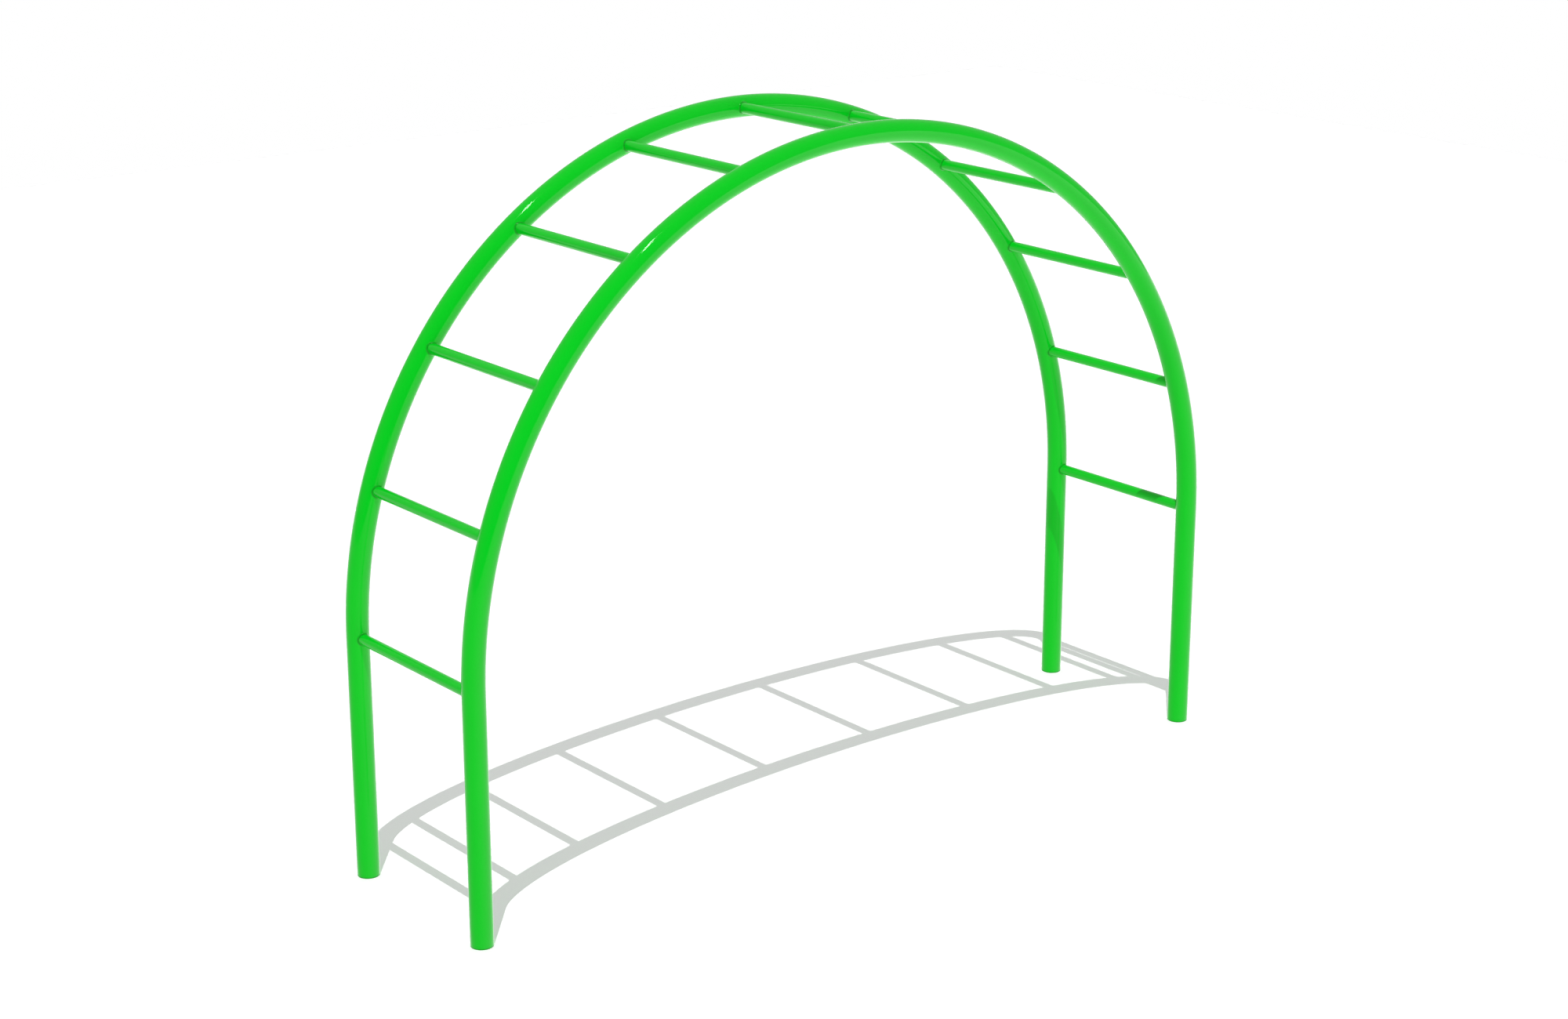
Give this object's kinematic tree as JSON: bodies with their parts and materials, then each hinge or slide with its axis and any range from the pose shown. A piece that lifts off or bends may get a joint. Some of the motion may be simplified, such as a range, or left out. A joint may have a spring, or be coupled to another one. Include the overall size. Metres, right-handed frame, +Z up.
{
  "type": "arch climber",
  "caption": "Free-standing playground arch climber: bent tube rails on straight legs, joined by evenly spaced welded rungs over the whole arch.",
  "frame": {"origin": "on the ground, at the middle of the four leg ends", "axes": "+X along the span from the left legs to the right legs, +Y across from the front rail to the back rail, +Z up"},
  "size_m": [2.5604, 0.6102, 1.9502],
  "materials": {
    "green_powder_coat": "gloss"
  },
  "bodies": {
    "root": {"front_rail": "green_powder_coat", "back_rail": "green_powder_coat", "rung_01": "green_powder_coat", "rung_02": "green_powder_coat", "rung_03": "green_powder_coat", "rung_04": "green_powder_coat", "rung_05": "green_powder_coat", "rung_06": "green_powder_coat", "rung_07": "green_powder_coat", "rung_08": "green_powder_coat", "rung_09": "green_powder_coat", "rung_10": "green_powder_coat", "rung_11": "green_powder_coat", "rung_01_welds": "green_powder_coat", "rung_02_welds": "green_powder_coat", "rung_03_welds": "green_powder_coat", "rung_04_welds": "green_powder_coat", "rung_05_welds": "green_powder_coat", "rung_06_welds": "green_powder_coat", "rung_07_welds": "green_powder_coat", "rung_08_welds": "green_powder_coat", "rung_09_welds": "green_powder_coat", "rung_10_welds": "green_powder_coat", "rung_11_welds": "green_powder_coat", "front_left_foot_disc": "green_powder_coat", "front_right_foot_disc": "green_powder_coat", "back_left_foot_disc": "green_powder_coat", "back_right_foot_disc": "green_powder_coat"}
  },
  "joints": []
}
